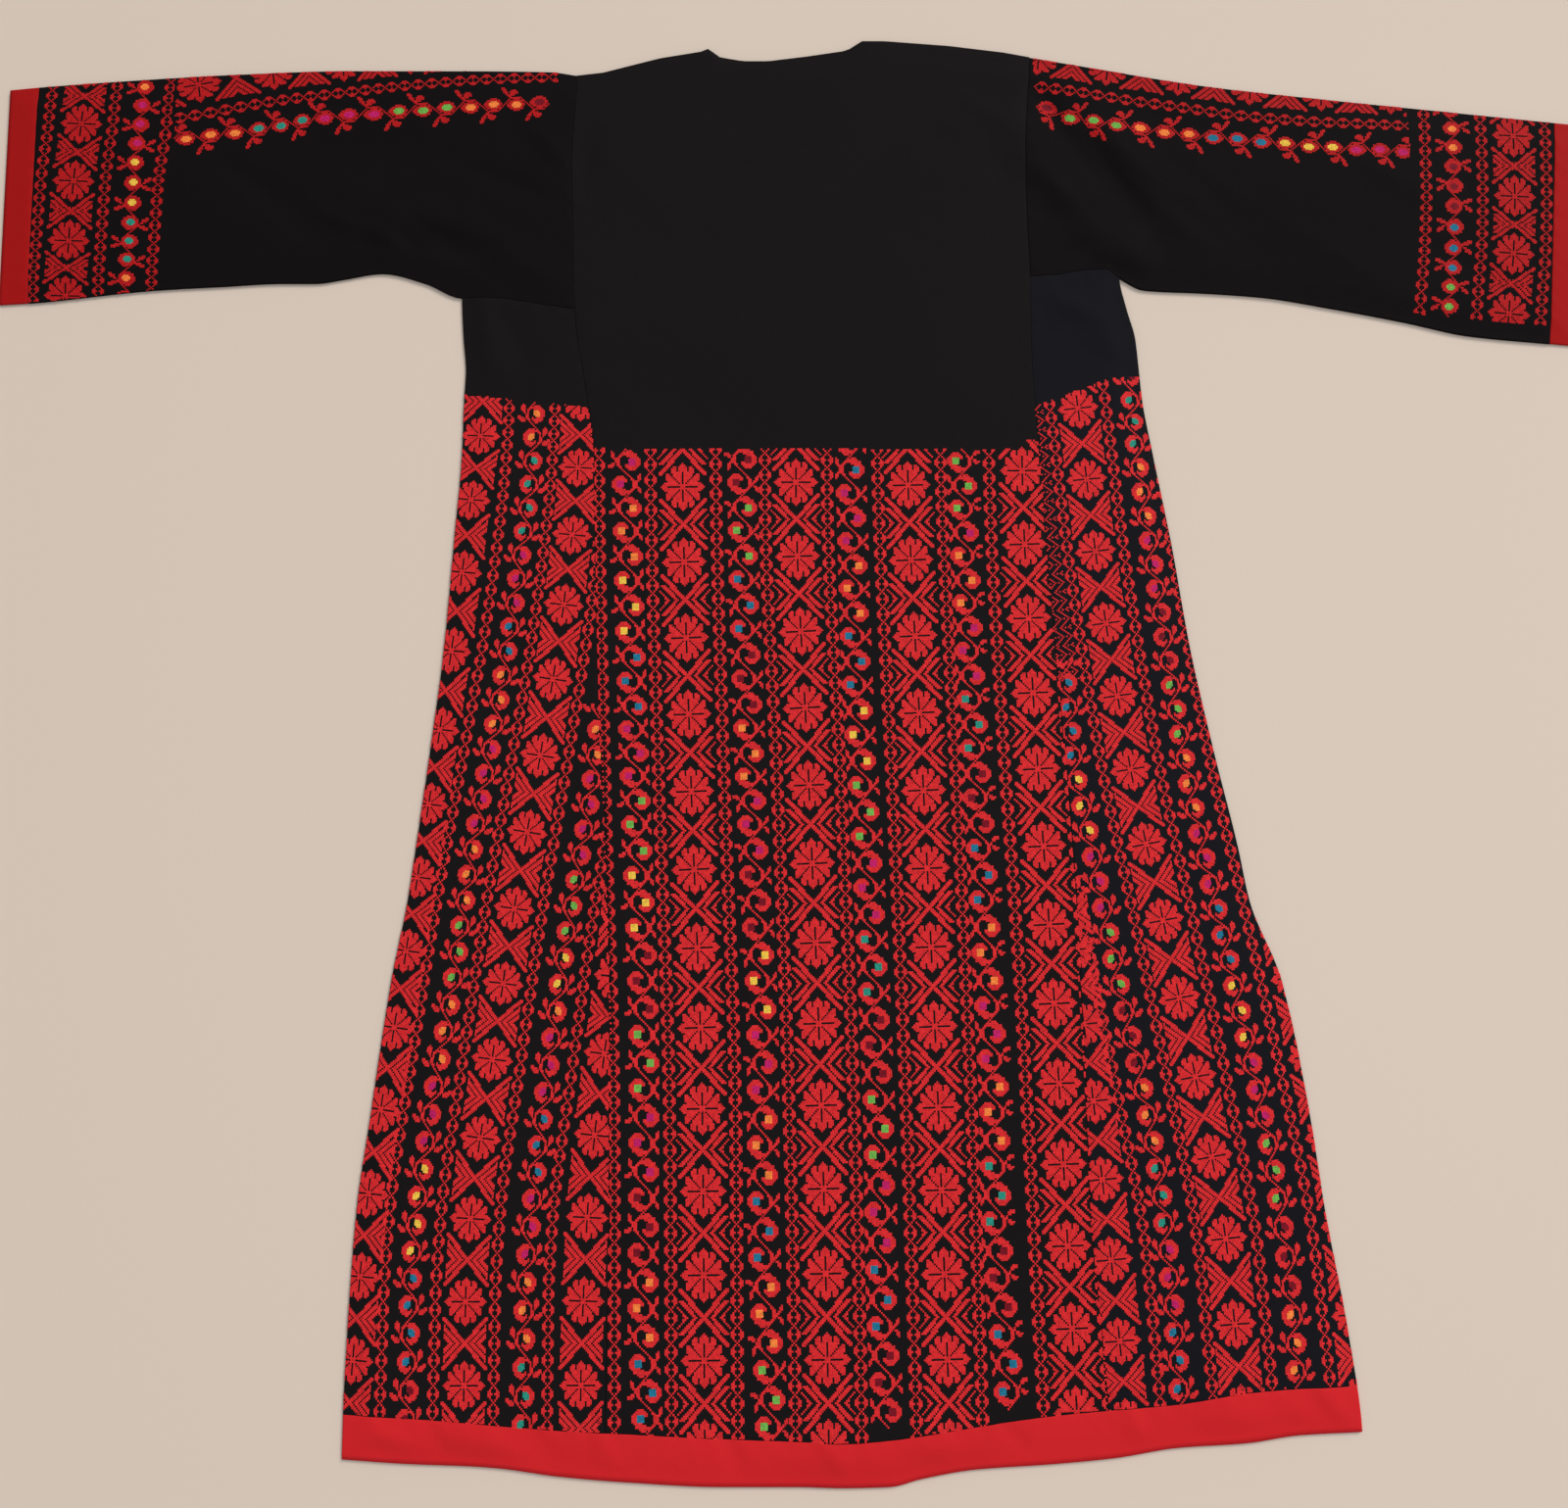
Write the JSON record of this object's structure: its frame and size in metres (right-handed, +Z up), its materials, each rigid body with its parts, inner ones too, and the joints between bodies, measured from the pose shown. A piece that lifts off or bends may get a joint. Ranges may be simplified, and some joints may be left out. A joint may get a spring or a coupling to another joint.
{
  "type": "palestinian thobe dress",
  "caption": "Long black thobe dress laid flat with its back up, with full-length cross-stitch embroidery, long straight sleeves and red bands at the cuffs and hem.",
  "frame": {"origin": "centre of the laid-out dress on the surface it lies on", "axes": "+X along the sleeves towards the right of the view of the back, +Y from the hem to the neck, +Z up from the surface"},
  "size_m": [1.5575, 1.38, 0.0095],
  "materials": {
    "black_cloth": "matte woven cotton",
    "red_satin": "soft satin sheen",
    "red_thread": "mercerised cotton thread",
    "orange_thread": "mercerised cotton thread",
    "yellow_thread": "mercerised cotton thread",
    "green_thread": "mercerised cotton thread",
    "teal_thread": "mercerised cotton thread",
    "blue_thread": "mercerised cotton thread",
    "magenta_thread": "mercerised cotton thread",
    "dark_red_thread": "mercerised cotton thread"
  },
  "bodies": {
    "root": {"back_centre": "black_cloth", "front_centre": "black_cloth", "side_left": "black_cloth", "side_right": "black_cloth", "sleeve_left": "black_cloth", "sleeve_right": "black_cloth", "cuff_left": "red_satin", "cuff_right": "red_satin", "hem_band": "red_satin"}
  },
  "joints": []
}
